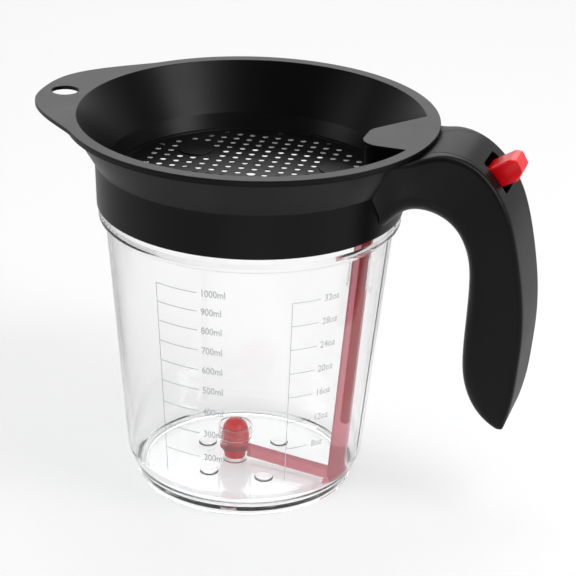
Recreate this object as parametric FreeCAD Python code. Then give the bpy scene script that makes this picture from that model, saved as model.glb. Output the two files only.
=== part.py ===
import FreeCAD, Part
import math
import os

# Gravy fat separator: a clear jug that empties through a hole in its floor, a black collar
# with a hook handle, a lift-off strainer funnel, and a thumb button that lifts the stopper.
# Millimetres. +Z is up, the origin is on the jug's axis at the table, and the handle is on +X.

V = FreeCAD.Vector
UP = V(0, 0, 1)

# ------------------------------------------------------------------ driving sizes: jug
foot_radius = 48.5            # outside of the foot ring
foot_round = 1.0              # rounding where the foot meets the table
foot_wall = 3.2               # thickness of the foot ring
foot_height = 1.4             # table to the underside of the floor
foot_side = 2.5               # height of the foot ring's upright side
floor_thickness = 2.2
floor_corner = 6.8            # width of the soft corner from the wall down to the flat floor
floor_corner_drop = 2.0       # knuckle to where that corner starts
knuckle_height = 14.0         # table to where the straight wall starts
knuckle_soft = 2.6            # height of the soft turn from the foot's slope into the wall
wall_low_radius = 53.0        # outside of the wall at the knuckle
wall_top_radius = 62.5        # outside of the wall under the shoulder
wall_height = 107.0           # knuckle to shoulder
wall_thickness = 2.2
shoulder_step = 3.0           # wall to shoulder, outwards
shoulder_height = 8.3
shoulder_round = 2.2
neck_step = 1.3               # shoulder to the neck that stands inside the collar
neck_wall = 2.0
neck_height = 14.7
gasket_lip = 0.7              # how far the collar covers the gasket
outlet_offset = -4.6          # the outlet sits a little away from the handle
outlet_drop = 0.8             # length of the nozzle below the floor
outlet_wall = 1.6
stud_radius = 4.2             # low round bumps moulded on the floor
stud_height = 0.9
stud_inset = 27.2             # outside of the foot to the studs
stud_angles = (60.0, 162.0, -47.0, -119.0)

# ------------------------------------------------------------------ driving sizes: collar
collar_gap = 0.1              # collar to jug, where they're pressed together
band_step = 2.0               # neck to the outside of the band's lower edge
band_height = 19.4
band_flare = 0.7              # outwards, up to the crease where the cone starts
cone_height = 18.1            # crease to the top of the lip
cone_flare = 9.7
lip_step = 2.7
lip_thickness = 1.2
lip_chamfer = 0.6
shoulder_rest = 1.6           # thickness of the step that rests on the gasket
nest_chamfer = 1.2
gasket_thickness = 1.3
window_half_width = 10.8      # the lever passes through the cone here
window_low = 1.2              # above the crease
window_high = 12.6            # above the crease

# ------------------------------------------------------------------ driving sizes: strainer
seat_gap = 0.1                # strainer flange to collar lip
nest_gap = 0.7                # strainer cone to collar cone
flange_step = 0.7             # collar lip to the flange's edge
flange_thickness = 1.6
flange_round = 0.5
rim_width = 5.4               # the flange's flat top
funnel_cone_drop = 20.7
funnel_wall_drop = 6.7        # crease to the perforated plate
funnel_foot_gap = 2.1         # neck to the outside of the funnel at the plate
funnel_foot_flare = 3.0       # outwards, from the plate up to the crease
funnel_wall = 1.9
funnel_ledge_width = 2.6      # the ledge that carries the plate
funnel_ledge_thickness = 1.2
tongue_near = -18.2           # straight side of the cover over the lift works, from the middle
tongue_tip_width = 18.8       # straight side to where the slanting side starts, at the tip
tongue_slant = 54.6           # the other side opens towards the flange at this angle
tongue_round = 8.0
tongue_brim = 0.8             # the cover stands out over the pocket's wall
pocket_wall = 1.3
pocket_gap = 1.0              # end of the lever to the wall of the pocket
tab_length = 15.5             # flange edge to the end of the hanging tab
tab_half_share = 0.375        # half the tab's width, as a share of the flange's radius
tab_join_angle = 41.0         # where the tab runs into the round flange
hang_hole_out = 5.3           # flange edge to the middle of the hole
hang_hole_aside = -2.5
hang_hole_radius = 6.0
plate_thickness = 0.6
plate_gap = 0.15
plate_rim_width = 1.6         # the raised edge of the plate
plate_rim_height = 0.6
hole_radius = 1.3
hole_flare = 0.7              # the holes are this much wider underneath
hole_pitch = 5.9
hole_turn = 4.0               # the grid of holes is turned a little from the handle
plate_margin = 4.8
centre_hole_radius = 1.9
pad_radius = 7.6              # blank round pads between the holes
pad_inset = 20.2              # edge of the plate to the middle of a pad
pad_angle = 31.0
pad_height = 0.5

# ------------------------------------------------------------------ driving sizes: handle
grip_skin = 2.0               # soft skin over the core
core_wall = 2.0
core_rib = 0.4                # the hollow's flat sides stand this far inside its rounded ones
saddle_half_width = 32.0      # the skin's root patch, let into the cone, at its top
saddle_foot_half_width = 27.0
saddle_round = 5.0
saddle_depth = 1.2
saddle_low = 0.4              # crease to the patch
saddle_high = 1.0             # patch to the lip's underside
spine_half_width = 14.6
spine_gap = 0.2
slot_start = (23.7, 3.2)      # upper end of the button's slot, out and down from the lip
slot_run = (9.5, 11.4)
slot_half_width = 8.5
slot_length = 15.8
slot_round = 2.0
button_half_width = 7.4
button_round = 1.5
button_groove_radius = 6.0    # hollow along each side of the button, for the finger
button_groove_depth = 1.4
pivot_out = 16.2              # lip to pivot, outwards
pivot_drop = 14.0             # top of the lip to pivot, downwards
pivot_radius = 2.0
pivot_fit = 0.02
pin_bite = 1.6                # how far the pivot goes into each side of the core
pin_running_gap = 0.05
lever_thickness = 4.5
lever_half_width = 10.0
lever_end_round = 2.4         # link pin to the lever's end
lever_end_cut = 1.8
barrel_radius = 4.2
fork_gap = 0.3                # rod to each side of the lever's fork
fork_tine = 2.5
fork_depth = 5.2              # link pin to the bottom of the fork
stub_half_width = 4.8
stub_gap = 0.05
spring_out = 3.0              # lip to the bend of the leaf spring, outwards
spring_bend = 2.6
spring_leaf = 0.5             # thickness of the steel
spring_half_width = 3.5
spring_top_leg = 9.0
spring_low_leg = 6.5
spring_seat_gap = 0.15
screw_radius = 1.5
screw_head_radius = 2.8
screw_head_height = 1.4
screw_length = 12.0
screw_y = 17.0
screw_drop = 11.0             # top of the lip to the screws
screw_gap = 0.1
screw_room = 0.2              # screw head to the strainer's cone

# ------------------------------------------------------------------ driving sizes: lift works
strip_side = -6.0             # the strip runs a little to one side of the handle's middle
strip_width = 6.6             # across the strip, radially
strip_thickness = 4.4
strip_wall_gap = 2.3          # strip to the jug's wall at the foot
strip_lean_share = 0.788      # how much of the wall's slope the strip takes
strip_foot_lift = 0.4         # arm's underside to the strip's
strip_top = 4.8               # above the shoulder's underside
rod_width = 3.6
rod_neck_width = 2.6          # above the strip
rod_thickness = 2.4
rod_offset = 1.5              # rod to strip centre, outwards
rod_start = 19.7              # knuckle to the rod's rounded lower end
rod_fit = 0.05
rod_overlap = 1.5             # how far the rod's flat foot stands above the strip
eye_offset = 1.3
eye_radius = 3.0
link_radius = 1.5
link_gap = 0.1
link_play = 0.35              # half the length that the eye is stretched by
guide_wall = 0.9
guide_gap = 0.3
guide_low = 85.0              # above the knuckle
guide_high = 100.0            # above the knuckle
arm_floor_gap = 0.5             # at the elbow
arm_rise = 1.7                # the arm stands this much higher at the ring
arm_height = 4.4
arm_thickness = 4.2
arm_corner = 5.0
lap_height = 16.1             # height of the joint between arm and strip
lap_gap = 0.03
eye_ring_radius = 6.9
eye_ring_height = 3.3
eye_ring_lift = 4.7           # floor to the underside of the ring
plug_top_radius = 6.2
plug_taper = 0.38             # radius lost per unit of depth
plug_reach = 6.7              # ring to the tip, downwards
plug_neck_radius = 3.8
plug_body_radius = 6.3
plug_body_height = 4.2
plug_dome_radius = 5.8
soft_gap = 0.35               # silicone to hard plastic across a joint
soft_fit = 0.05               # silicone to hard plastic that it's pulled onto
sleeve_radius = 7.8
sleeve_wall = 0.8
sleeve_height = 7.4

# ------------------------------------------------------------------ places worked out from the sizes
shoulder_radius = wall_top_radius + shoulder_step
neck_radius = shoulder_radius - neck_step
neck_inside = neck_radius - neck_wall
band_radius = neck_radius + band_step
crease_radius = band_radius + band_flare
cone_top_radius = crease_radius + cone_flare
lip_radius = cone_top_radius + lip_step
flange_radius = lip_radius + flange_step
funnel_radius = flange_radius - rim_width
funnel_foot_radius = neck_inside - funnel_foot_gap - funnel_wall
funnel_crease_radius = funnel_foot_radius + funnel_foot_flare

z_floor = foot_height + floor_thickness
z_ledge = knuckle_height + wall_height
z_shoulder = z_ledge + shoulder_height
z_rim = z_shoulder + neck_height
z_band = z_shoulder + collar_gap
z_crease = z_band + band_height
z_lip = z_crease + cone_height
z_flange = z_lip + seat_gap
z_top = z_flange + flange_thickness
z_funnel_crease = z_top - funnel_cone_drop
z_plate = z_funnel_crease - funnel_wall_drop
z_plate_low = z_plate - plate_thickness
z_ledge_low = z_plate_low - plate_gap - funnel_ledge_thickness

pivot_x = lip_radius + pivot_out
pivot_z = z_lip - pivot_drop
strip_lean = strip_lean_share * (wall_top_radius - wall_low_radius) / wall_height
strip_foot_x = wall_low_radius - wall_thickness - strip_wall_gap - strip_width / 2


def strip_x(z):
    """Centre of the lift strip at height z."""
    return strip_foot_x + strip_lean * (z - knuckle_height)


link_x = strip_x(pivot_z) + rod_offset + eye_offset
tongue_reach = link_x - lever_end_round - pocket_gap - pocket_wall - tongue_brim
tab_reach = flange_radius + tab_length


# ------------------------------------------------------------------ helpers
def save(node, shape):
    if len(shape.Solids) == 1:
        shape = shape.Solids[0]
    shape.exportStep("parts/%s.step" % node)
    box = shape.BoundBox
    print("%-16s solids %d  valid %s  volume %10.2f  z %.2f to %.2f"
          % (node, len(shape.Solids), shape.isValid(), shape.Volume, box.ZMin, box.ZMax))


def xz(point, y=0.0):
    return V(point[0], y, point[1])


def outline_xz(start, steps, y=0.0):
    """Closed face in a plane y = const. A step is a point, or (middle, end) of an arc."""
    edges = []
    here = start
    for step in steps + [start]:
        if isinstance(step[0], tuple):
            edges.append(Part.Arc(xz(here, y), xz(step[0], y), xz(step[1], y)).toShape())
            here = step[1]
        elif xz(here).distanceToPoint(xz(step)) > 1e-6:
            edges.append(Part.makeLine(xz(here, y), xz(step, y)))
            here = step
    return Part.Face(Part.Wire(edges))


def turned(start, steps, centre_x=0.0):
    """Solid of revolution of an (r, z) outline about the vertical line x = centre_x."""
    solid = outline_xz(start, steps).revolve(V(0, 0, 0), UP, 360)
    solid.translate(V(centre_x, 0, 0))
    return solid


def prism_y(points, y_low, y_high):
    """Polygon in XZ, drawn out along Y."""
    wire = Part.makePolygon([xz(p, y_low) for p in points + [points[0]]])
    return Part.Face(wire).extrude(V(0, y_high - y_low, 0))


def box(low, high):
    size = [b - a for a, b in zip(low, high)]
    return Part.makeBox(size[0], size[1], size[2], V(*low))


def rod_y(radius, x, z, y_low, y_high):
    return Part.makeCylinder(radius, y_high - y_low, V(x, y_low, z), V(0, 1, 0))


def tube(radius, z_low, z_high, x=0.0, y=0.0):
    return Part.makeCylinder(radius, z_high - z_low, V(x, y, z_low))


def between(a, b, share):
    return a + (b - a) * share


def wall_radius(z):
    """Outside of the jug's straight wall at height z."""
    return between(wall_low_radius, wall_top_radius, (z - knuckle_height) / wall_height)


# ------------------------------------------------------------------ jug
def plug_radius(z):
    """Outside of the stopper's cone at height z."""
    return plug_top_radius - plug_taper * (z_floor + eye_ring_lift - z)


def make_jug():
    inside_low = wall_low_radius - wall_thickness
    inside_top = wall_top_radius - wall_thickness
    slope_x = foot_radius + 0.85 * (wall_low_radius - foot_radius)
    knuckle_low = knuckle_height - knuckle_soft
    ledge_reach = shoulder_radius - wall_top_radius
    corner_top = knuckle_height - floor_corner_drop
    outer = [
        (foot_radius - foot_wall, foot_height),
        (foot_radius - foot_wall, 0),
        (foot_radius - foot_round, 0),
        ((foot_radius - 0.3 * foot_round, 0.3 * foot_round), (foot_radius, foot_round)),
        (foot_radius, foot_side),
        (slope_x, knuckle_low),
        ((between(slope_x, wall_low_radius, 0.72), knuckle_height - knuckle_soft / 2),
         (wall_low_radius, knuckle_height)),
        (wall_top_radius, z_ledge),
        ((wall_top_radius + 0.14 * ledge_reach, z_ledge + 0.36 * ledge_reach),
         (wall_top_radius + 0.5 * ledge_reach, z_ledge + 0.5 * ledge_reach)),
        ((shoulder_radius - 0.16 * ledge_reach, z_ledge + 0.5 * ledge_reach + 0.34 * shoulder_round),
         (shoulder_radius, z_ledge + 0.5 * ledge_reach + shoulder_round)),
        (shoulder_radius, z_shoulder),
        (neck_radius, z_shoulder),
        (neck_radius, z_rim),
        (neck_inside, z_rim),
        (neck_inside, z_ledge + 0.6 * shoulder_height),
        (inside_top, z_ledge),
        (inside_low, knuckle_height),
        (inside_low, corner_top),
        ((inside_low - 0.38 * floor_corner, between(z_floor, corner_top, 0.3)),
         (inside_low - floor_corner, z_floor)),
        (0, z_floor),
    ]
    jug = turned((0, foot_height), outer)
    for angle in stud_angles:
        turn = math.radians(angle)
        stud = tube(stud_radius, z_floor - 0.1, z_floor + stud_height,
                    (foot_radius - stud_inset) * math.cos(turn), (foot_radius - stud_inset) * math.sin(turn))
        top_edges = [e for e in stud.Edges if e.BoundBox.ZMin > z_floor]
        jug = jug.fuse(stud.makeFillet(0.7 * stud_height, top_edges))
    bore = plug_radius(foot_height) + soft_gap
    mouth = plug_radius(z_floor) + soft_gap
    z_tip = foot_height - outlet_drop
    nozzle = tube(bore + outlet_wall, z_tip, foot_height + 0.1, outlet_offset)
    way_out = tube(bore, z_tip - 1, foot_height + 0.01, outlet_offset)
    seat = Part.makeCone(bore, mouth, floor_thickness, V(outlet_offset, 0, foot_height))
    above = tube(mouth, z_floor - 0.01, z_floor + 1, outlet_offset)
    return jug.fuse(nozzle).cut(way_out).cut(seat).cut(above).removeSplitter()


# ------------------------------------------------------------------ collar
def collar_envelope(gap=0.0):
    """Everything inside the collar's outer surface, grown by gap."""
    band = [
        (band_radius + gap, z_band - gap),
        (crease_radius + gap, z_crease),
        (cone_top_radius + gap, z_lip - lip_thickness - lip_chamfer),
        (lip_radius + gap, z_lip - lip_thickness - gap),
        (lip_radius + gap, z_lip + gap),
        (0, z_lip + gap),
    ]
    return turned((0, z_band - gap), band)


def funnel_line(z):
    """Inside of the strainer's cone at height z."""
    share = (z - z_funnel_crease) / funnel_cone_drop
    return between(funnel_crease_radius, funnel_radius, share)


def cone_radius(z):
    """Outside of the collar's cone at height z."""
    span = z_lip - lip_thickness - lip_chamfer - z_crease
    return between(crease_radius, cone_top_radius, (z - z_crease) / span)


def saddle(depth, rise, grow):
    """The patch of the cone that the handle is let into, from depth below it to rise above it."""
    z_high = z_lip - lip_thickness - saddle_high + grow
    z_low = z_crease + saddle_low - grow
    skin = turned((cone_radius(z_low) - depth, z_low), [
        (cone_radius(z_low) + rise, z_low),
        (cone_radius(z_high) + rise, z_high),
        (cone_radius(z_high) - depth, z_high),
    ])
    half = saddle_half_width + grow
    foot = saddle_foot_half_width + grow
    marks = [(-foot, z_low - 0.1), (foot, z_low - 0.1), (half, z_high + 0.1), (-half, z_high + 0.1)]
    wire = Part.makePolygon([V(1, y, z) for y, z in marks + marks[:1]])
    block = Part.Face(wire).extrude(V(lip_radius, 0, 0))
    low_edges = [e for e in block.Edges if e.BoundBox.XLength > 1 and e.BoundBox.ZMax < z_low + 1]
    return skin.common(block.makeFillet(saddle_round + grow, low_edges))


def make_collar():
    z_step = z_rim + gasket_thickness
    z_cone_low = z_step + shoulder_rest
    z_nest = z_cone_low + nest_chamfer
    nest = funnel_wall + nest_gap
    inside = [
        (neck_radius + collar_gap, z_band),
        (band_radius, z_band),
        (crease_radius, z_crease),
        (cone_top_radius, z_lip - lip_thickness - lip_chamfer),
        (lip_radius, z_lip - lip_thickness),
        (lip_radius, z_lip),
        (funnel_line(z_lip) + nest, z_lip),
        (funnel_line(z_nest) + nest, z_nest),
        (neck_radius - gasket_lip, z_cone_low),
        (neck_radius - gasket_lip, z_step),
        (neck_radius + collar_gap, z_step),
    ]
    collar = turned(inside[0], inside[1:])
    window = box((neck_inside / 2, -window_half_width, z_crease + window_low),
                 (cone_top_radius, window_half_width, z_crease + window_high))
    collar = collar.cut(saddle(saddle_depth + 0.05, 0.5, 0.1)).cut(window)
    for side in (-1, 1):
        y = side * screw_y
        collar = collar.cut(screw_shape(y, screw_gap))
        collar = collar.cut(screw_head_way(y))
    return collar.removeSplitter()


def make_gasket():
    inner = neck_inside + gasket_lip / 2
    return turned((inner, z_rim), [
        (neck_radius, z_rim), (neck_radius, z_rim + gasket_thickness),
        (inner, z_rim + gasket_thickness)])


# ------------------------------------------------------------------ strainer
def tongue_side(x, inset):
    """The cover's slanting side at x, drawn in by inset."""
    slant = math.radians(tongue_slant)
    start = tongue_near + tongue_tip_width
    return start + (x - tongue_reach) * math.tan(slant) - inset / math.cos(slant)


def tongue_block(inset, z_low, z_high):
    """The cover over the mechanism, or the pocket under it, with its plan drawn in by inset."""
    tip = tongue_reach + inset
    near = tongue_near + inset
    far = funnel_radius + rim_width / 2
    corners = [(tip, near), (far, near), (far, tongue_side(far, inset)), (tip, tongue_side(tip, inset))]
    wire = Part.makePolygon([V(x, y, z_low) for x, y in corners + corners[:1]])
    block = Part.Face(wire).extrude(V(0, 0, z_high - z_low))
    ends = [e for e in block.Edges if e.BoundBox.XMax < tip + 0.01 and e.BoundBox.ZLength > 0.5 * (z_high - z_low)]
    return block.makeFillet(tongue_round - inset, ends)


def tab_plan(z):
    """Plan of the hanging tab: a broad rounded lobe that runs into the flange."""
    width = tab_half_share * flange_radius
    half = [(tab_reach, 0.0),
            (tab_reach - 0.155 * tab_length, 0.55 * width),
            (tab_reach - 0.355 * tab_length, 0.76 * width),
            (tab_reach - 0.67 * tab_length, 0.98 * width),
            (tab_reach - 1.11 * tab_length, 1.215 * width),
            (tab_reach - 1.575 * tab_length, 1.425 * width),
            (tab_reach - 2.0 * tab_length, 1.61 * width)]
    join = math.radians(tab_join_angle)
    end = (flange_radius * math.cos(join), flange_radius * math.sin(join))
    near = [V(-x, -y, z) for x, y in [end] + half[:0:-1]]
    far = [V(-x, y, z) for x, y in half + [end]]
    curve = Part.BSplineCurve()
    curve.interpolate(Points=near + far,
                      InitialTangent=V(-math.sin(join), math.cos(join), 0),
                      FinalTangent=V(math.sin(join), math.cos(join), 0))
    return near + far, curve


def make_funnel():
    z_foot = z_ledge_low
    foot_outer = funnel_foot_radius + funnel_wall
    crease_outer = funnel_crease_radius + funnel_wall
    top_outer = funnel_line(z_flange) + funnel_wall
    ledge = funnel_foot_radius - funnel_ledge_width
    shell = turned((ledge, z_foot), [
        (foot_outer, z_foot),
        (foot_outer, z_plate),
        (crease_outer, z_funnel_crease),
        (top_outer, z_flange),
        (flange_radius, z_flange),
        (flange_radius, z_top),
        (funnel_radius, z_top),
        (funnel_crease_radius, z_funnel_crease),
        (funnel_foot_radius, z_plate),
        (funnel_foot_radius, z_plate_low - plate_gap),
        (ledge, z_plate_low - plate_gap),
    ])
    inside = turned((0, z_foot), [
        (foot_outer, z_foot), (foot_outer, z_plate), (crease_outer, z_funnel_crease),
        (top_outer, z_flange), (flange_radius, z_flange), (flange_radius, z_top), (0, z_top)])
    block = tongue_block(tongue_brim, z_foot, z_top).fuse(tongue_block(0, z_flange, z_top)).common(inside)
    void = tongue_block(tongue_brim + pocket_wall, z_foot - 1, z_flange)
    points, curve = tab_plan(z_flange)
    chord = Part.makeLine(points[-1], points[0])
    tab = Part.Face(Part.Wire([curve.toShape(), chord])).extrude(V(0, 0, flange_thickness))
    tab = tab.cut(tube(funnel_radius + 1, z_flange - 1, z_top + 1))
    hole = tube(hang_hole_radius, z_flange - 1, z_top + 1, -flange_radius - hang_hole_out, hang_hole_aside)
    funnel = shell.fuse(block).cut(void).fuse(tab).cut(hole)
    for side in (-1, 1):
        funnel = funnel.cut(screw_head_room(side * screw_y))
    return funnel.removeSplitter()


def plate_holes():
    """Places of the small holes: a square grid, clear of the pads, the edge and the pocket."""
    reach = funnel_foot_radius - plate_margin
    count = int(reach / hole_pitch)
    pads = pad_places()
    turn = math.radians(hole_turn)
    places = []
    for i in range(-count, count + 1):
        for j in range(-count, count + 1):
            x = hole_pitch * (i * math.cos(turn) - j * math.sin(turn))
            y = hole_pitch * (i * math.sin(turn) + j * math.cos(turn))
            if math.hypot(x, y) > reach or (i == 0 and j == 0):
                continue
            if min(math.hypot(x - px, y - py) for px, py in pads) < pad_radius + hole_radius + 0.4:
                continue
            clear = -2 * hole_radius
            if x > tongue_reach + clear and tongue_near + clear < y < tongue_side(x, clear):
                continue
            places.append((x, y))
    return places


def pad_places():
    turn = math.radians(pad_angle)
    x = (funnel_foot_radius - pad_inset) * math.cos(turn)
    y = (funnel_foot_radius - pad_inset) * math.sin(turn)
    return [(x, y), (x, -y), (-x, y), (-x, -y)]


def make_plate():
    edge = funnel_foot_radius - plate_gap
    plate = tube(edge, z_plate_low, z_plate)
    rim = tube(edge, z_plate - 0.1, z_plate + plate_rim_height)
    plate = plate.fuse(rim.cut(tube(edge - plate_rim_width, z_plate - 1, z_top)))
    for x, y in pad_places():
        plate = plate.fuse(tube(pad_radius, z_plate - 0.1, z_plate + pad_height, x, y))
    holes = [(x, y, hole_radius) for x, y in plate_holes()] + [(0, 0, centre_hole_radius)]
    cones = [Part.makeCone(r + hole_flare, r, plate_thickness, V(x, y, z_plate_low)) for x, y, r in holes]
    notch = tongue_block(tongue_brim - plate_gap, z_plate_low - 1, z_top)
    return plate.cut(Part.makeCompound(cones)).cut(notch)


# ------------------------------------------------------------------ handle
# Stations along the hook, from the root to the tip: the outer and the inner point of the
# section, each as (out from the lip, down from the top of the lip), and the section's width
# at the outer and at the inner point.
handle_stations = (
    ((-21.3, 1.8), (-21.3, 36.0), 70.0, 44.0),
    ((-15.3, 1.4), (-14.8, 34.0), 68.0, 42.0),
    ((-8.3, 0.9), (-8.3, 27.6), 58.0, 39.0),
    ((0.2, 0.2), (-0.8, 25.6), 47.5, 37.0),
    ((9.7, -1.5), (5.7, 26.9), 40.5, 35.5),
    ((20.2, 1.4), (11.3, 29.8), 36.5, 35.0),
    ((29.7, 9.4), (16.1, 34.7), 35.0, 35.0),
    ((36.7, 21.0), (19.6, 42.0), 35.0, 35.0),
    ((42.0, 39.0), (21.4, 52.5), 35.0, 35.0),
    ((45.6, 60.0), (21.4, 68.0), 35.0, 35.0),
    ((46.4, 81.0), (20.9, 84.5), 35.0, 35.0),
    ((44.8, 102.5), (22.3, 101.0), 35.0, 35.0),
    ((43.5, 110.5), (26.1, 110.4), 34.5, 34.5),
    ((42.2, 116.1), (31.8, 116.4), 33.5, 33.5),
    ((41.2, 119.2), (37.6, 119.4), 31.0, 31.0),
)
outer_corner = 2.4
inner_corner = 7.5
# Where the spine is cut from the rest of the handle, from its root to its end, well inside
# the hook: out from the lip, and down from its top.
spine_back = ((-1.0, 13.0), (16.0, 15.0), (28.0, 27.0), (34.0, 52.0), (34.5, 82.0), (35.2, 107.0), (38.3, 116.2))


def station_wire(outer, inner, wide, narrow, inset):
    """Rounded section through an outer and an inner point, drawn in by inset."""
    top = V(lip_radius + outer[0], 0, z_lip - outer[1])
    low = V(lip_radius + inner[0], 0, z_lip - inner[1])
    down = (low - top).normalize()
    depth = (low - top).Length
    inset = min(inset, 0.4 * depth)
    top = top + down * inset
    depth = depth - 2 * inset
    half = wide / 2 - inset
    low_half = narrow / 2 - inset
    round_top = min(max(outer_corner - inset, 0.4), 0.3 * depth)
    round_low = min(max(inner_corner - inset, 0.4), 0.55 * depth)
    side = V(0, 1, 0)
    bite = 1 - math.sqrt(0.5)

    def at(y, d):
        return top + side * y + down * d

    corners = (
        (at(-half + round_top, 0), at(half - round_top, 0)),
        (at(half - round_top * bite, round_top * bite), at(half, round_top)),
        (at(low_half, depth - round_low), None),
        (at(low_half - round_low * bite, depth - round_low * bite), at(low_half - round_low, depth)),
        (at(-low_half + round_low, depth), None),
        (at(-low_half + round_low * bite, depth - round_low * bite), at(-low_half, depth - round_low)),
        (at(-half, round_top), None),
        (at(-half + round_top * bite, round_top * bite), at(-half + round_top, 0)),
    )
    edges = [Part.makeLine(corners[0][0], corners[0][1])]
    here = corners[0][1]
    for point, end in corners[1:]:
        if end is None:
            edges.append(Part.makeLine(here, point))
            here = point
        else:
            edges.append(Part.Arc(here, point, end).toShape())
            here = end
    return Part.Wire(edges)


def handle_body(inset):
    wires = [station_wire(*station, inset) for station in handle_stations]
    return Part.makeLoft(wires, True, False)


def handle_point(out, drop):
    return (lip_radius + out, z_lip - drop)


def spine_zone(half, end_gap):
    """The outer side of the hook, from the lip nearly to the tip, half wide each way."""
    first, last = spine_back[0], spine_back[-1]
    beyond = handle_stations[9][0][0] * 1.5
    marks = [(first[0] - end_gap, first[1])] + list(spine_back[1:-1]) + [
        (last[0], last[1] + end_gap), (beyond, last[1] + end_gap),
        (beyond, -first[1]), (first[0] - end_gap, -first[1])]
    return prism_y([handle_point(*m) for m in marks], -half, half)


def slot_cut():
    """The opening in the spine that the button moves in."""
    start = V(*xz(handle_point(*slot_start)))
    way = V(slot_run[0], 0, -slot_run[1]).normalize()
    out = V(-way.z, 0, way.x)
    low = start - out * slot_half_width
    corners = [low, low + way * slot_length,
               low + way * slot_length + out * 2 * slot_half_width, low + out * 2 * slot_half_width]
    wire = Part.makePolygon([c - V(0, slot_half_width, 0) for c in corners + corners[:1]])
    cut = Part.Face(wire).extrude(V(0, 2 * slot_half_width, 0))
    edges = [e for e in cut.Edges
             if abs((e.Vertexes[1].Point - e.Vertexes[0].Point).dot(out)) > slot_half_width]
    return cut.makeFillet(slot_round, edges)


def collar_side():
    """What the handle's root is trimmed by: the collar, less the patch it is let into."""
    return collar_envelope(collar_gap / 2).cut(saddle(saddle_depth, 0.5, 0.0))


def make_grip(body, core_body):
    grip = body.cut(collar_side()).fuse(saddle(saddle_depth, 0.0, 0.0)).cut(core_body)
    grip = grip.cut(spine_zone(spine_half_width + spine_gap, spine_gap))
    for side in (-1, 1):
        grip = grip.cut(screw_shape(side * screw_y, screw_gap))
    return grip


def core_half():
    """Half the width inside the core."""
    return handle_stations[8][2] / 2 - grip_skin - core_wall - core_rib


def make_core(core_body, cavity_body):
    core = core_body.cut(collar_side())
    half = core_half()
    slab = box((0, -half, 0), (2 * flange_radius, half, 2 * z_top))
    hollow = cavity_body.common(slab).fuse(core_body.common(spine_zone(half, -spine_gap)))
    core = core.cut(hollow)
    seat = half + pin_bite + 0.1
    core = core.cut(rod_y(pivot_radius + pivot_fit, pivot_x, pivot_z, -seat, seat))
    for side in (-1, 1):
        core = core.cut(screw_shape(side * screw_y, screw_gap))
    return core


def make_spine(body, core_body):
    spine = body.cut(core_body).common(spine_zone(spine_half_width, 0.0))
    return spine.cut(collar_envelope(0.05)).cut(slot_cut())


def screw_start(y):
    """Where a screw's head seats, on the inside of the cone."""
    z = z_lip - screw_drop
    return V(math.sqrt((funnel_line(z) + funnel_wall + nest_gap) ** 2 - y ** 2) + 0.3, y, z)


def screw_shape(y, gap):
    start = screw_start(y)
    ahead = V(1, 0, 0)
    head = Part.makeCone(screw_head_radius + gap, screw_radius + gap, screw_head_height, start, ahead)
    shank = Part.makeCylinder(screw_radius + gap, screw_length + gap, start, ahead)
    return head.fuse(shank)


def screw_head_way(y):
    start = screw_start(y) - V(4, 0, 0)
    return Part.makeCylinder(screw_head_radius + screw_gap, 4.01, start, V(1, 0, 0))


def screw_head_room(y):
    """What the strainer's cone is relieved by in front of a screw's head."""
    start = screw_start(y) - V(screw_room, 0, 0)
    return Part.makeCylinder(screw_head_radius + screw_room, screw_length, start, V(1, 0, 0))


def make_screws():
    shapes = []
    for side in (-1, 1):
        screw = screw_shape(side * screw_y, 0.0)
        start = screw_start(side * screw_y)
        drive = box((start.x - 1, start.y - 1.8, start.z - 0.3), (start.x + 0.7, start.y + 1.8, start.z + 0.3))
        shapes.append(screw.cut(drive))
    return Part.makeCompound(shapes)


# ------------------------------------------------------------------ release lever and button
button_marks = ((24.6, 6.4), (33.7, 0.7), (36.6, 0.9), (39.3, 5.7), (37.8, 9.6), (29.8, 14.1), (24.4, 12.2))
button_grooves = ((19.8, 14.3), (43.8, 0.0))
stub_tip = (27.6, 9.0)


def stub_shape(gap):
    """The lever's end inside the button."""
    pivot = V(pivot_x, 0, pivot_z)
    tip = V(*xz(handle_point(*stub_tip)))
    along = (tip - pivot).normalize()
    across = V(-along.z, 0, along.x)
    half = lever_thickness / 2 - 0.25 + gap
    end = tip + along * gap
    corners = [pivot + across * half, end + across * half, end - across * half, pivot - across * half]
    side = stub_half_width + gap
    wire = Part.makePolygon([c - V(0, side, 0) for c in corners + corners[:1]])
    return Part.Face(wire).extrude(V(0, 2 * side, 0))


def make_button():
    block = prism_y([handle_point(*m) for m in button_marks], -button_half_width, button_half_width)
    rounded = [e for e in block.Edges if e.BoundBox.XMax > handle_point(*button_marks[5])[0] + 0.01]
    block = block.makeFillet(button_round, rounded)
    start, end = [V(*xz(handle_point(*m))) for m in button_grooves]
    for side in (-1, 1):
        aside = V(0, side * (button_half_width + button_groove_radius - button_groove_depth), 0)
        block = block.cut(Part.makeCylinder(button_groove_radius, (end - start).Length, start + aside, end - start))
    return block.cut(stub_shape(stub_gap))


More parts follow.
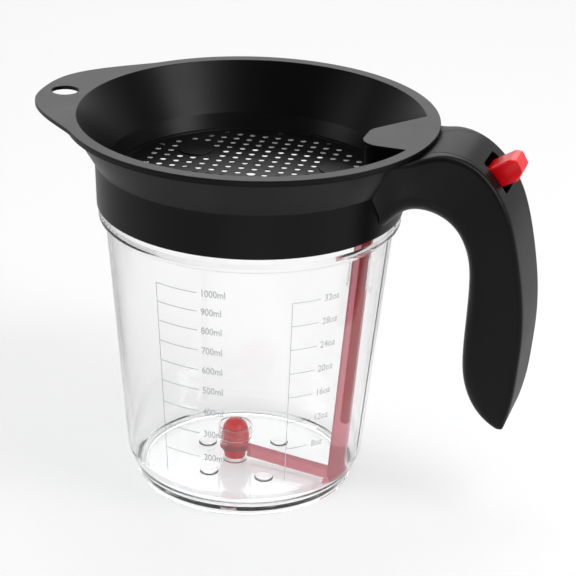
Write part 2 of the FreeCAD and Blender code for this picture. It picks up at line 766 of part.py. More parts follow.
def make_lever():
    half = lever_thickness / 2
    side = lever_half_width
    end_x = link_x - lever_end_round
    cut = lever_end_cut
    clear = tongue_brim + pocket_wall + pocket_gap
    end_y = tongue_side(end_x, clear)
    full_x = end_x + (side - end_y) / math.tan(math.radians(tongue_slant))
    plan = [(pivot_x, -side), (end_x + cut, -side), (end_x, -side + cut),
            (end_x, end_y), (full_x, side), (pivot_x, side)]
    wire = Part.makePolygon([V(x, y, pivot_z - half) for x, y in plan + plan[:1]])
    bar = Part.Face(wire).extrude(V(0, 0, lever_thickness))
    barrel = rod_y(barrel_radius, pivot_x, pivot_z, -side, side)
    lever = bar.fuse(barrel).fuse(stub_shape(0.0))
    rod_low = rod_side() - rod_thickness / 2 - fork_gap
    rod_high = rod_side() + rod_thickness / 2 + fork_gap
    slot = box((link_x - 2 * eye_radius, rod_low, pivot_z - lever_thickness),
               (link_x + fork_depth, rod_high, pivot_z + lever_thickness))
    lever = lever.cut(slot)
    lever = lever.cut(rod_y(pivot_radius + pin_running_gap, pivot_x, pivot_z, -side - 1, side + 1))
    lever = lever.cut(rod_y(link_radius + pivot_fit, link_x, pivot_z, -side - 1, link_far()))
    return lever.removeSplitter()


def rod_side():
    """Middle of the rod across the handle: it is let flush into the strip's near side."""
    return strip_side - strip_thickness / 2 + rod_thickness / 2


def link_far():
    return rod_side() + rod_thickness / 2 + fork_gap + fork_tine


def make_pivot_pin():
    reach = core_half() + pin_bite
    return rod_y(pivot_radius, pivot_x, pivot_z, -reach, reach)


def make_link_pin():
    return rod_y(link_radius, link_x, pivot_z, -lever_half_width, link_far() - 0.1)


def spring_top():
    """Underside of the spine over the spring."""
    out = spring_out
    first, second = handle_stations[3], handle_stations[4]
    share = (out - first[0][0]) / (second[0][0] - first[0][0])
    return z_lip - between(first[0][1], second[0][1], share) - grip_skin - spring_seat_gap


def make_spring():
    """Bent leaf of spring steel between the spine and the lever."""
    x = lip_radius + spring_out
    high = spring_top()
    low = pivot_z + lever_thickness / 2 + spring_seat_gap
    middle = high - spring_bend
    inside = spring_bend - spring_leaf
    leaf = outline_xz((x + spring_top_leg, high), [
        (x, high),
        ((x - spring_bend, middle), (x, middle - spring_bend)),
        (x + spring_low_leg, low),
        (x + spring_low_leg, low + spring_leaf),
        (x, middle - inside),
        ((x - inside, middle), (x, high - spring_leaf)),
        (x + spring_top_leg, high - spring_leaf),
    ], -spring_half_width)
    return leaf.extrude(V(0, 2 * spring_half_width, 0))


# ------------------------------------------------------------------ lift works
def leaning(x_low, x_high, z_low, z_high, y_low, y_high):
    """Bar that leans with the strip; x is measured from the strip's centre line."""
    corners = [(strip_x(z_low) + x_low, z_low), (strip_x(z_low) + x_high, z_low),
               (strip_x(z_high) + x_high, z_high), (strip_x(z_high) + x_low, z_high)]
    return prism_y(corners, y_low, y_high)


def strip_end():
    return z_ledge + strip_top


def rod_bar(gap, z_high):
    """The rod's flat foot, let into the strip, up to z_high."""
    z_low = knuckle_height + rod_start
    half = rod_width / 2 + gap
    y_low = rod_side() - rod_thickness / 2 - gap
    y_high = rod_side() + rod_thickness / 2 + gap
    z_mid = z_low + rod_width / 2
    bar = leaning(rod_offset - half, rod_offset + half, z_mid, z_high, y_low, y_high)
    end = rod_y(half, strip_x(z_mid) + rod_offset, z_mid, y_low, y_high)
    return bar.fuse(end)


def make_rod():
    y_low = rod_side() - rod_thickness / 2
    y_high = rod_side() + rod_thickness / 2
    outer = rod_offset + rod_width / 2
    rod = rod_bar(0.0, strip_end() + rod_overlap)
    rod = rod.fuse(leaning(outer - rod_neck_width, outer, strip_end(), pivot_z, y_low, y_high))
    eye = rod_y(eye_radius, link_x, pivot_z, y_low, y_high)
    neck = box((strip_x(pivot_z) + outer - rod_neck_width, y_low, pivot_z - eye_radius),
               (link_x, y_high, pivot_z))
    hole = rod_y(link_radius + link_gap, link_x - link_play, pivot_z, y_low - 1, y_high + 1)
    hole = hole.fuse(rod_y(link_radius + link_gap, link_x + link_play, pivot_z, y_low - 1, y_high + 1))
    hole = hole.fuse(box((link_x - link_play, y_low - 1, pivot_z - link_radius - link_gap),
                         (link_x + link_play, y_high + 1, pivot_z + link_radius + link_gap)))
    return rod.fuse(eye).fuse(neck).cut(hole).removeSplitter()


def lap_top():
    return z_floor + arm_floor_gap + lap_height


def make_strip():
    z_low = z_floor + arm_floor_gap + strip_foot_lift
    z_high = strip_end()
    half = strip_width / 2
    y_low = strip_side - strip_thickness / 2
    y_high = strip_side + strip_thickness / 2
    strip = leaning(-half, half, z_low, z_high, y_low, y_high)
    corner = [e for e in strip.Edges if e.BoundBox.ZMax < z_low + 0.1
              and e.BoundBox.XMin > strip_x(z_low) and e.BoundBox.YLength > 1]
    strip = strip.makeFillet(arm_corner, corner)
    top_edges = [e for e in strip.Edges if e.BoundBox.ZMin > z_high - 0.1 and e.BoundBox.YLength > 1]
    strip = strip.makeFillet(1.5, top_edges)
    lap = box((0, strip_side - lap_gap, 0), (flange_radius, y_high + 1, lap_top() + lap_gap))
    return strip.cut(lap).cut(rod_bar(rod_fit, z_high + 5))


def arm_frame(shape):
    """Turn a shape from the handle's plane to the line from the outlet to the strip's foot."""
    away = math.degrees(math.atan2(strip_side, strip_x(knuckle_height) - outlet_offset))
    shape.rotate(V(0, 0, 0), UP, away)
    shape.translate(V(outlet_offset, 0, 0))
    return shape


def make_arm():
    low = z_floor + arm_floor_gap
    ring_low = z_floor + eye_ring_lift
    run = math.hypot(strip_x(low) - outlet_offset, strip_side) - strip_width / 4
    bar = prism_y([(0, low + arm_rise), (run, low), (run, low + arm_height),
                   (0, low + arm_height + arm_rise)], -arm_thickness / 2, arm_thickness / 2)
    bar = arm_frame(bar)
    ring = tube(eye_ring_radius, ring_low, ring_low + eye_ring_height, outlet_offset)
    under = tube(eye_ring_radius + 0.4, low - 1, ring_low, outlet_offset)
    half = strip_width / 2
    y_high = strip_side + strip_thickness / 2
    foot = leaning(-half, half, low, lap_top(), strip_side + lap_gap, y_high)
    corner = [e for e in foot.Edges if e.BoundBox.ZMax < low + 0.1
              and e.BoundBox.XMin > strip_x(low) and e.BoundBox.YLength > 1]
    foot = foot.makeFillet(arm_corner, corner)
    beside = leaning(-half - 2 * lap_gap, half + arm_thickness, low - 1, lap_top(),
                     strip_side - arm_thickness, strip_side + lap_gap)
    arm = bar.cut(beside).fuse(foot).cut(under).fuse(ring)
    bore = tube(plug_neck_radius + soft_fit, low - 1, ring_low + 9, outlet_offset)
    return arm.cut(bore).removeSplitter()


def make_stopper():
    ring_low = z_floor + eye_ring_lift
    ring_high = ring_low + eye_ring_height
    tip = ring_low - plug_reach
    body_low = ring_high + soft_fit
    body_high = body_low + plug_body_height
    dome = plug_dome_radius
    rise = 0.97 * dome
    dome_low = body_high + 0.8
    sphere = (dome ** 2 + rise ** 2) / (2 * rise)
    centre = dome_low + rise - sphere
    turn = 0.5 * math.acos((dome_low - centre) / sphere)
    return turned((0, tip), [
        (plug_radius(tip) - 0.8, tip),
        (plug_radius(tip + 0.8), tip + 0.8),
        (plug_radius(ring_low - soft_fit), ring_low - soft_fit),
        (plug_neck_radius, ring_low - soft_fit),
        (plug_neck_radius, body_low),
        (plug_body_radius, body_low),
        (plug_body_radius, body_high - 0.6),
        (dome, body_high),
        (dome, dome_low),
        ((sphere * math.sin(turn), centre + sphere * math.cos(turn)), (0, dome_low + rise)),
    ], outlet_offset)


def make_sleeve():
    low = z_floor + eye_ring_lift + eye_ring_height + soft_fit
    inner = sleeve_radius - sleeve_wall
    return turned((plug_body_radius + soft_fit, low), [
        (sleeve_radius, low), (sleeve_radius, low + sleeve_height),
        (inner, low + sleeve_height), (inner, low + 2.0), (plug_body_radius + soft_fit, low + 1.4)],
        outlet_offset)


def make_guide():
    """Clear channel on the jug's wall that the strip slides in."""
    z_low = knuckle_height + guide_low
    z_high = knuckle_height + guide_high
    half = strip_width / 2 + guide_gap
    y_low = strip_side - strip_thickness / 2 - guide_gap
    y_high = strip_side + strip_thickness / 2 + guide_gap
    outside = leaning(-half - guide_wall, wall_thickness + strip_foot_x / 2, z_low, z_high,
                      y_low - guide_wall, y_high + guide_wall)
    edges = [e for e in outside.Edges if e.BoundBox.XMax < strip_x(z_high) - half
             and e.BoundBox.YLength > 1]
    outside = outside.makeFillet(2.5, edges)
    channel = leaning(-half, half, z_low - 1, z_high + 1, y_low, y_high)
    inner_wall = Part.makeCone(wall_radius(z_low) - wall_thickness - collar_gap,
                               wall_radius(z_high) - wall_thickness - collar_gap,
                               z_high - z_low, V(0, 0, z_low))
    return outside.common(inner_wall).cut(channel)


# ------------------------------------------------------------------ make all
def main():
    os.makedirs("parts", exist_ok=True)
    body = handle_body(0.0)
    core_body = handle_body(grip_skin)
    cavity_body = handle_body(grip_skin + core_wall)
    save("jug", make_jug())
    save("rim_gasket", make_gasket())
    save("collar", make_collar())
    save("handle_grip", make_grip(body, core_body))
    save("handle_core", make_core(core_body, cavity_body))
    save("handle_spine", make_spine(body, core_body))
    save("handle_screws", make_screws())
    save("pivot_pin", make_pivot_pin())
    save("return_spring", make_spring())
    save("rod_guide", make_guide())
    save("thumb_button", make_button())
    save("release_lever", make_lever())
    save("link_pin", make_link_pin())
    save("lift_rod", make_rod())
    save("lift_strip", make_strip())
    save("stopper_arm", make_arm())
    save("stopper", make_stopper())
    save("stopper_sleeve", make_sleeve())
    save("strainer_funnel", make_funnel())
    save("strainer_plate", make_plate())


main()
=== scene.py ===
import math

import bpy
from mathutils import Matrix, Vector


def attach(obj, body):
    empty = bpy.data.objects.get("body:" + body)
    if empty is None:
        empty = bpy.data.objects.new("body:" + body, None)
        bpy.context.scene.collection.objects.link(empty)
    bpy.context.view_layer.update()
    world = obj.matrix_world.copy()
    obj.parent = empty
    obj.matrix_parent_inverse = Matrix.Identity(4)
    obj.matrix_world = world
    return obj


# A gravy fat separator: clear jug, black collar with a hook handle, strainer funnel, red lift works.
# Metres. The jug stands on z = 0 on its own axis, the handle is on +X and the hanging tab on -X.

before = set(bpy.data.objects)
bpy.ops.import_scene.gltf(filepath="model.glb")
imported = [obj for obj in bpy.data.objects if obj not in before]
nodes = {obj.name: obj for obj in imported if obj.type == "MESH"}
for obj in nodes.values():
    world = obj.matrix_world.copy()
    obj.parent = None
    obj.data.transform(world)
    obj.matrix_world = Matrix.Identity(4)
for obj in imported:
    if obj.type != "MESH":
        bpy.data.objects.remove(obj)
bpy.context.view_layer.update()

MM = 0.001

# Sizes of the jug's wall, as in the part's source, for the print on it.
WALL_LOW_RADIUS = 53.0 * MM
WALL_TOP_RADIUS = 62.5 * MM
KNUCKLE_HEIGHT = 14.0 * MM
WALL_HEIGHT = 107.0 * MM


# ------------------------------------------------------------------ camera, floor and light
CAMERA_AZIMUTH = math.radians(18.5)       # round the jug, from the side view with the handle on the right
CAMERA_OUT = 0.8052                       # from the jug's axis
CAMERA_HEIGHT = 0.4480
CAMERA_DOWN = math.radians(24.092)
CAMERA_ASIDE = math.radians(1.245)        # it looks a little past the axis, to the right
CAMERA_ROLL = math.radians(1.841)
CAMERA_LENS = 125                         # mm, on a sensor 36 mm wide
CAMERA_SENSOR = 36


def make_camera():
    lens = bpy.data.cameras.new("camera")
    lens.sensor_width = CAMERA_SENSOR
    lens.lens = CAMERA_LENS
    camera = bpy.data.objects.new("camera", lens)
    bpy.context.scene.collection.objects.link(camera)
    place = Vector((math.sin(CAMERA_AZIMUTH), -math.cos(CAMERA_AZIMUTH), 0)) * CAMERA_OUT
    place.z = CAMERA_HEIGHT
    turn = (Matrix.Rotation(CAMERA_AZIMUTH - CAMERA_ASIDE, 4, "Z")
            @ Matrix.Rotation(math.pi / 2 - CAMERA_DOWN, 4, "X")
            @ Matrix.Rotation(CAMERA_ROLL, 4, "Z"))
    camera.matrix_world = Matrix.Translation(place) @ turn
    bpy.context.scene.camera = camera
    bpy.context.scene.view_settings.view_transform = "Standard"


def colour(code):
    """The linear colour of an sRGB hex value."""
    parts = [int(code[i:i + 2], 16) / 255 for i in (0, 2, 4)]
    return tuple(c / 12.92 if c <= 0.04045 else ((c + 0.055) / 1.055) ** 2.4 for c in parts) + (1.0,)


def add(tree, kind, settings=None, feeds=None):
    """Adds a node with its settings, and the sockets that feed its inputs."""
    made = tree.nodes.new(kind)
    for name, value in (settings or {}).items():
        if isinstance(name, str) and hasattr(made, name):
            setattr(made, name, value)
        else:
            made.inputs[name].default_value = value
    for name, source in (feeds or {}).items():
        tree.links.new(source, made.inputs[name])
    return made


def new_material(name):
    material = bpy.data.materials.new(name)
    material.use_nodes = True
    material.node_tree.nodes.clear()
    return material, material.node_tree


TABLE_RADIUS = 6.0
TABLE_DROP = 0.3 * MM    # the table lies a little under the foot, so that no two faces coincide
FLOOR_GLOW = 0.5         # share of the table's white that glows for the camera
GLOW_THROUGH = 0.4       # the same, seen through clear faces
SIDES = 0.7              # how light shiny and clear faces see the table to the left and right
SIDES_FROM = 70 * MM     # where it starts to darken, to either side of the jug's axis
SIDES_FULL = 130 * MM


def make_floor():
    """A white table, whose own colour glows for the camera, so that only the shadow darkens it. Shiny
    and clear faces see it darker to the left and right, as between a studio's dark screens."""
    bpy.ops.object.select_all(action="DESELECT")
    bpy.ops.mesh.primitive_circle_add(vertices=96, radius=TABLE_RADIUS, fill_type="NGON",
                                      location=(0, 0, -TABLE_DROP))
    floor = bpy.context.object
    floor.name = "floor"
    material, tree = new_material("white_table")
    paint = add(tree, "ShaderNodeBsdfDiffuse", {"Color": colour("fcfcfc")})
    glow = add(tree, "ShaderNodeEmission", {"Color": colour("ffffff"), "Strength": 1.0})
    screen = add(tree, "ShaderNodeBsdfDiffuse", {"Color": colour("000000")})
    path = add(tree, "ShaderNodeLightPath")
    through = add(tree, "ShaderNodeMath", {"operation": "MULTIPLY", 1: GLOW_THROUGH},
                  {0: path.outputs["Is Transmission Ray"]})
    share = add(tree, "ShaderNodeMath", {"operation": "MULTIPLY_ADD", 1: FLOOR_GLOW},
                {0: path.outputs["Is Camera Ray"], 2: through.outputs[0]})
    table = add(tree, "ShaderNodeMixShader", {},
                {0: share.outputs[0], 1: paint.outputs[0], 2: glow.outputs[0]})
    place = add(tree, "ShaderNodeTexCoord")
    across = (math.cos(CAMERA_AZIMUTH), math.sin(CAMERA_AZIMUTH), 0)
    aside = add(tree, "ShaderNodeVectorMath", {"operation": "DOT_PRODUCT", 1: across},
                {0: place.outputs["Object"]})
    away = add(tree, "ShaderNodeMath", {"operation": "ABSOLUTE"}, {0: aside.outputs["Value"]})
    dark = add(tree, "ShaderNodeMapRange",
               {"interpolation_type": "SMOOTHSTEP", "From Min": SIDES_FROM, "From Max": SIDES_FULL,
                "To Min": 0.0, "To Max": 1 - SIDES}, {"Value": away.outputs[0]})
    mirrored = add(tree, "ShaderNodeMath", {"operation": "MAXIMUM"},
                   {0: path.outputs["Is Glossy Ray"], 1: path.outputs["Is Transmission Ray"]})
    shade = add(tree, "ShaderNodeMath", {"operation": "MULTIPLY"},
                {0: dark.outputs[0], 1: mirrored.outputs[0]})
    mix = add(tree, "ShaderNodeMixShader", {},
              {0: shade.outputs[0], 1: table.outputs[0], 2: screen.outputs[0]})
    add(tree, "ShaderNodeOutputMaterial", {}, {"Surface": mix.outputs[0]})
    floor.data.materials.append(material)


ROOM = 0.42              # the room's light on the object
BACKDROP = 1.0           # what shiny and clear faces see behind the jug, low down
GLOSS_HIGH = 0.12        # what shiny faces see overhead, as a share of the backdrop
GLOSS_FRONT = 0.3        # and on the camera's side
CLEAR_HIGH = 0.5         # what is seen overhead through clear faces
BACKDROP_TOP = 0.28      # how high the backdrop stays full, and where it ends, as a direction's Z
BACKDROP_END = 0.62
BACKDROP_SIDE = -0.1     # where it starts beside the jug, and where it is full behind it, as the
BACKDROP_BEHIND = 0.9    # cosine of the angle from straight behind


def make_world():
    """White all round for the camera; a pale backdrop low down and a dim room overhead for gloss."""
    world = bpy.data.worlds.new("studio")
    bpy.context.scene.world = world
    world.use_nodes = True
    tree = world.node_tree
    tree.nodes.clear()
    path = add(tree, "ShaderNodeLightPath")
    way = add(tree, "ShaderNodeTexCoord")
    split = add(tree, "ShaderNodeSeparateXYZ", {}, {"Vector": way.outputs["Generated"]})
    away = (-math.sin(CAMERA_AZIMUTH), math.cos(CAMERA_AZIMUTH), 0)
    behind = add(tree, "ShaderNodeVectorMath", {"operation": "DOT_PRODUCT", 1: away},
                 {0: way.outputs["Generated"]})
    round_about = add(tree, "ShaderNodeMapRange",
                      {"interpolation_type": "SMOOTHSTEP",
                       "From Min": BACKDROP_SIDE, "From Max": BACKDROP_BEHIND,
                       "To Min": GLOSS_FRONT, "To Max": BACKDROP}, {"Value": behind.outputs["Value"]})
    above = {"interpolation_type": "SMOOTHSTEP", "From Min": BACKDROP_TOP, "From Max": BACKDROP_END,
             "To Min": BACKDROP}
    gloss_above = add(tree, "ShaderNodeMapRange", {**above, "To Max": GLOSS_HIGH},
                      {"Value": split.outputs["Z"]})
    clear_above = add(tree, "ShaderNodeMapRange", {**above, "To Max": CLEAR_HIGH},
                      {"Value": split.outputs["Z"]})
    gloss_share = add(tree, "ShaderNodeMath", {"operation": "MULTIPLY"},
                      {0: round_about.outputs[0], 1: gloss_above.outputs[0]})
    white = {"Color": colour("ffffff")}
    room = add(tree, "ShaderNodeBackground", {**white, "Strength": ROOM})
    gloss = add(tree, "ShaderNodeBackground", white, {"Strength": gloss_share.outputs[0]})
    clear = add(tree, "ShaderNodeBackground", white, {"Strength": clear_above.outputs[0]})
    plain = add(tree, "ShaderNodeBackground", {**white, "Strength": 1.0})
    seen = room
    for ray, backdrop in (("Is Glossy Ray", gloss), ("Is Transmission Ray", clear), ("Is Camera Ray", plain)):
        seen = add(tree, "ShaderNodeMixShader", {},
                   {0: path.outputs[ray], 1: seen.outputs[0], 2: backdrop.outputs[0]})
    add(tree, "ShaderNodeOutputWorld", {}, {"Surface": seen.outputs[0]})


# Soft boxes: name, degrees round the jug from the side view with the handle on the right, height,
# distance from the jug's axis, width and length, and watts.
LAMPS = (
    ("left_box", -62, 0.45, 1.1, (0.5, 0.8), 2.4),
    ("near_right_box", 70, 1.15, 0.6, (0.35, 0.35), 2.4),
    ("right_box", 80, 0.8, 1.1, (0.5, 0.9), 7.5),
    ("top_box", 190, 1.35, 0.35, (1.0, 0.7), 3.8),
    ("back_box", 198, 0.8, 1.3, (1.3, 0.35), 3.0),
)
LAMPS_AIM = Vector((0, 0, 90 * MM))


def make_lamp(name, azimuth, height, out, size, power):
    """A soft box that faces the jug."""
    data = bpy.data.lights.new(name, "AREA")
    data.shape = "RECTANGLE"
    data.size, data.size_y = size
    data.energy = power
    lamp = bpy.data.objects.new(name, data)
    bpy.context.scene.collection.objects.link(lamp)
    turn = math.radians(azimuth)
    place = Vector((math.sin(turn) * out, -math.cos(turn) * out, height))
    aim = LAMPS_AIM - place
    lamp.matrix_world = Matrix.Translation(place) @ aim.to_track_quat("-Z", "Y").to_matrix().to_4x4()


# ------------------------------------------------------------------ materials
PATCH_SIZE = 18 * MM                 # patches of duller finish
RING_STRETCH = (3.0, 3.0, 900.0)     # a metre: turning rings 1.1 mm apart up the shape, long round it


def plastic(name, base, roughness, settings=None, grain=0.5 * MM, relief=0.05, patch=0.04, rings=0.0,
            edge=0.3 * MM):
    """A moulded plastic, rubber or metal: fine grain, patches of duller finish, edges a little worn round,
    and on turned shapes the faint rings that the mould's turning leaves."""
    material, tree = new_material(name)
    place = add(tree, "ShaderNodeTexCoord")
    shader = add(tree, "ShaderNodeBsdfPrincipled",
                 {"Base Color": colour(base), "Roughness": roughness, **(settings or {})})
    cloud = add(tree, "ShaderNodeTexNoise", {"Scale": 1 / PATCH_SIZE, "Detail": 3.0},
                {"Vector": place.outputs["Object"]})
    spread = add(tree, "ShaderNodeMapRange", {"To Min": roughness - patch, "To Max": roughness + patch},
                 {"Value": cloud.outputs["Fac"]})
    tree.links.new(spread.outputs[0], shader.inputs["Roughness"])
    soft = add(tree, "ShaderNodeBevel", {"samples": 6, "Radius": edge})
    fine = add(tree, "ShaderNodeTexNoise", {"Scale": 1 / grain, "Detail": 2.0},
               {"Vector": place.outputs["Object"]})
    height = fine.outputs["Fac"]
    if rings:
        squeeze = add(tree, "ShaderNodeMapping", {"Scale": RING_STRETCH}, {"Vector": place.outputs["Object"]})
        ring = add(tree, "ShaderNodeTexNoise", {"Scale": 1.0, "Detail": 2.0}, {"Vector": squeeze.outputs[0]})
        both = add(tree, "ShaderNodeMath", {"operation": "MULTIPLY_ADD", 1: rings},
                   {0: ring.outputs["Fac"], 2: height})
        height = both.outputs[0]
    bump = add(tree, "ShaderNodeBump", {"Strength": relief, "Distance": grain / 4},
               {"Height": height, "Normal": soft.outputs[0]})
    tree.links.new(bump.outputs[0], shader.inputs["Normal"])
    add(tree, "ShaderNodeOutputMaterial", {}, {"Surface": shader.outputs[0]})
    return material


NECK_HEIGHT = 129.6 * MM     # above this the jug is the frosted neck inside the collar
FROST_BLEND = 0.5 * MM
POLISHED_AND_FROSTED = {"Roughness": (0.03, 0.5), "Transmission Weight": (0.99, 0.15)}
WAVE_SIZE = 14 * MM          # long waves that moulding leaves in clear walls
WAVE_DEPTH = 0.4 * MM


def clear_plastic(name, ior, loss):
    """Clear styrene copolymer, moulded and polished, frosted on the neck; loss a metre dims what is seen
    through its thick edges."""
    material, tree = new_material(name)
    place = add(tree, "ShaderNodeTexCoord")
    wave = add(tree, "ShaderNodeTexNoise", {"Scale": 1 / WAVE_SIZE, "Detail": 1.0},
               {"Vector": place.outputs["Object"]})
    bump = add(tree, "ShaderNodeBump", {"Strength": 0.05, "Distance": WAVE_DEPTH},
               {"Height": wave.outputs["Fac"]})
    shader = add(tree, "ShaderNodeBsdfPrincipled",
                 {"Base Color": colour("ffffff"), "IOR": ior}, {"Normal": bump.outputs[0]})
    split = add(tree, "ShaderNodeSeparateXYZ", {}, {"Vector": place.outputs["Object"]})
    for socket, (polished, frosted) in POLISHED_AND_FROSTED.items():
        level = add(tree, "ShaderNodeMapRange",
                    {"From Min": NECK_HEIGHT, "From Max": NECK_HEIGHT + FROST_BLEND,
                     "To Min": polished, "To Max": frosted}, {"Value": split.outputs["Z"]})
        tree.links.new(level.outputs[0], shader.inputs[socket])
    let_through = add(tree, "ShaderNodeBsdfTransparent", {"Color": colour("f2f3f4")})
    path = add(tree, "ShaderNodeLightPath")
    mix = add(tree, "ShaderNodeMixShader", {},
              {0: path.outputs["Is Shadow Ray"], 1: shader.outputs[0], 2: let_through.outputs[0]})
    body = add(tree, "ShaderNodeVolumeAbsorption", {"Color": colour("a0a4a8"), "Density": loss})
    add(tree, "ShaderNodeOutputMaterial", {}, {"Surface": mix.outputs[0], "Volume": body.outputs[0]})
    return material


# ------------------------------------------------------------------ print on the wall
def wall_point(angle, z, proud):
    """A point on the outside of the jug's wall, a little proud of it."""
    share = (z - KNUCKLE_HEIGHT) / WALL_HEIGHT
    radius = WALL_LOW_RADIUS + (WALL_TOP_RADIUS - WALL_LOW_RADIUS) * share + proud
    return Vector((radius * math.cos(angle), radius * math.sin(angle), z))


FACING = -71.5        # the side of the wall between the two scales, degrees from the handle
INK_THICKNESS = 0.06 * MM
INK_LIFT = 0.01 * MM         # the ink's back stands this far off the wall
LINE_WIDTH = 0.34 * MM
BEND_STEP = 1.5 * MM         # a long line is cut across this often, to follow the wall
# For each scale: where its leader line's top and foot stand, where its ticks end (degrees round the
# wall), the width of its numbers, the height of its foot, and the heights of its marks in mm.
SCALES = (
    ("ml", -38.5, -38.5, -20.2, 0.8, 18.9,
     ((110.7, "1000ml"), (102.0, "900ml"), (93.0, "800ml"), (83.5, "700ml"), (74.0, "600ml"), (64.2, "500ml"),
      (53.6, "400ml"), (42.6, "300ml"), (30.7, "200ml"))),
    ("oz", 17.3, 18.9, 29.5, 0.86, 19.1,
     ((107.0, "32oz"), (96.0, "28oz"), (84.6, "24oz"), (73.0, "20oz"), (61.3, "16oz"), (48.8, "12oz"),
      (35.6, "8oz"))),
)
NUMBER_HEIGHT = 3.2 * MM
DIGIT_SHARE = 0.7            # a digit's height as a share of the letters' size
NUMBER_GAP = 1.6 * MM        # from a tick's end to its number
NUMBER_BOLD = 0.05 * MM


def lay_on_wall(piece, angle, z, lean=0.0):
    """Bends a flat drawing, x along the wall and y up, round the wall; it leans by degrees a metre."""
    for vertex in piece.data.vertices:
        x, y, proud = vertex.co
        radius = wall_point(0, z + y, 0).x
        vertex.co = wall_point(math.radians(angle + lean * y) + x / radius, z + y, proud + INK_LIFT)
    piece.data.update()


def join_pieces(pieces, name):
    """Makes one piece of several."""
    bpy.ops.object.select_all(action="DESELECT")
    for piece in pieces:
        piece.select_set(True)
    bpy.context.view_layer.objects.active = pieces[0]
    bpy.ops.object.join()
    whole = bpy.context.object
    whole.name = name
    whole.data.name = name
    return whole


def make_line(length, height, angle, z, lean=0.0):
    """One printed line: a thin slab, cut across so that it can follow the wall."""
    bpy.ops.object.select_all(action="DESELECT")
    bpy.ops.mesh.primitive_cube_add(size=1)
    line = bpy.context.object
    for vertex in line.data.vertices:
        vertex.co = ((vertex.co.x + 0.5) * length, vertex.co.y * height, (vertex.co.z + 0.5) * INK_THICKNESS)
    steps = int(max(length, height) / BEND_STEP)
    bpy.ops.object.mode_set(mode="EDIT")
    for step in range(1, steps):
        bpy.ops.mesh.select_all(action="SELECT")
        if length > height:
            bpy.ops.mesh.bisect(plane_co=(length * step / steps, 0, 0), plane_no=(1, 0, 0))
        else:
            bpy.ops.mesh.bisect(plane_co=(0, height * (step / steps - 0.5), 0), plane_no=(0, 1, 0))
    bpy.ops.object.mode_set(mode="OBJECT")
    lay_on_wall(line, angle, z, lean)
    return line


def make_number(words, width, angle, z):
    """One printed number, narrowed to its width, with its middle at the height of its tick."""
    bpy.ops.object.select_all(action="DESELECT")
    bpy.ops.object.text_add()
    text = bpy.context.object
    text.data.body = words
    text.data.size = NUMBER_HEIGHT / DIGIT_SHARE
    text.data.extrude = INK_THICKNESS / 2
    text.data.offset = NUMBER_BOLD
    text.data.resolution_u = 3
    text.data.align_y = "CENTER"
    bpy.ops.object.convert(target="MESH")
    number = bpy.context.object
    for vertex in number.data.vertices:
        vertex.co.x *= width
        vertex.co.z += INK_THICKNESS / 2
    lay_on_wall(number, angle, z)
    return number


def make_scale(unit, leader_top, leader_low, tick_end, width, z_low, marks, ink):
    """The leader line, its ticks and their numbers, printed on the outside of the wall."""
    z_top = marks[0][0]
    lean = (leader_top - leader_low) / (z_top - z_low)
    middle = (leader_top + leader_low) / 2
    lines = [make_line(LINE_WIDTH, (z_top - z_low) * MM, FACING + middle, (z_top + z_low) / 2 * MM,
                       lean / MM)]
    numbers = []
    for height, words in marks:
        radius = wall_point(0, height * MM, 0).x
        start = leader_low + lean * (height - z_low)
        tick = math.radians(tick_end - start) * radius
        lines.append(make_line(tick, LINE_WIDTH, FACING + start, height * MM))
        angle = FACING + tick_end + math.degrees(NUMBER_GAP / radius)
        numbers.append(make_number(words, width, angle, height * MM))
    for name, pieces in (("scale_lines_" + unit, lines), ("scale_numbers_" + unit, numbers)):
        piece = join_pieces(pieces, name)
        piece.data.materials.clear()
        piece.data.materials.append(ink)
        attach(piece, "jug_and_handle")


make_camera()
make_floor()
make_world()
for lamp in LAMPS:
    make_lamp(*lamp)

# Polypropylene off a polished mould: near black, satin, with faint turning rings.
black_pp = plastic("black_polypropylene_moulded", "080809", 0.32, {"Specular IOR Level": 0.17},
                   relief=0.10, rings=2.0, edge=0.6 * MM)
# Thermoplastic rubber moulded over the handle: dull, a fine dry grain.
black_grip = plastic("black_tpe_soft_touch", "060607", 0.38, {"Specular IOR Level": 0.18},
                     relief=0.14, patch=0.05, edge=0.5 * MM)
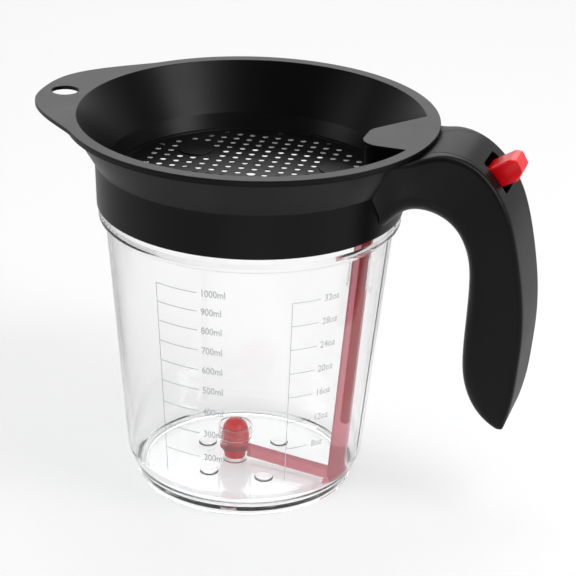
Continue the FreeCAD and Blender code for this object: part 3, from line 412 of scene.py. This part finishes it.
# ABS off a finely blasted mould: a grey sheen.
black_abs = plastic("black_abs_satin", "0c0c0d", 0.36, {"Specular IOR Level": 0.11},
                    relief=0.08, edge=0.7 * MM)
# ABS off a polished mould: bright red, with soft highlights on its edges.
red_abs = plastic("red_abs_gloss", "e20b15", 0.25, {"Specular IOR Level": 0.3}, relief=0.03)
# The same plastic with its red darkened as painted shade, so that the rod shows dark against the strip.
red_rod_painted_shade = plastic("red_abs_rod_painted_shade", "a80c1a", 0.3, {"Specular IOR Level": 0.2}, relief=0.03)
# Tinted clear styrene: what is behind it shows through in pink.
red_san = plastic("red_styrene_tinted", "dc8892", 0.25, {"Transmission Weight": 0.75, "IOR": 1.1},
                  relief=0.03)
# Moulded silicone: a deep, even red with a soft shine.
red_silicone = plastic("red_silicone_moulded", "cc0410", 0.25, {"Specular IOR Level": 0.3}, relief=0.04)
# Moulded rubber: dull and dusty.
black_rubber = plastic("black_rubber_moulded", "141414", 0.7, relief=0.15)
# Turned and bent steel: bright grey metal with fine tool marks.
steel = plastic("steel_turned", "b9b9bd", 0.3, {"Metallic": 1.0}, grain=0.2 * MM)
# Polished clear styrene: the jug and the sleeve, and thinner in the guide, which hardly shows.
jug_clear = clear_plastic("clear_styrene_polished", 1.38, 4.0)
guide_clear = clear_plastic("clear_styrene_thin", 1.04, 5.0)
# Pad printing ink: thin, light grey, matt.
ink = plastic("grey_pad_print_ink", "c4c6c8", 0.5, {"Specular IOR Level": 0.3}, edge=0.02 * MM)

finishes = {
    "jug": jug_clear, "rod_guide": guide_clear, "stopper_sleeve": jug_clear,
    "rim_gasket": black_rubber, "collar": black_pp, "handle_grip": black_grip, "handle_core": black_pp,
    "handle_spine": black_abs, "handle_screws": steel, "pivot_pin": steel, "return_spring": steel,
    "link_pin": steel, "thumb_button": red_abs, "release_lever": red_abs, "lift_rod": red_rod_painted_shade,
    "lift_strip": red_san, "stopper_arm": red_san, "stopper": red_silicone,
    "strainer_funnel": black_pp, "strainer_plate": black_pp,
}
for name, finish in finishes.items():
    nodes[name].data.materials.clear()
    nodes[name].data.materials.append(finish)

for scale in SCALES:
    make_scale(*scale, ink)
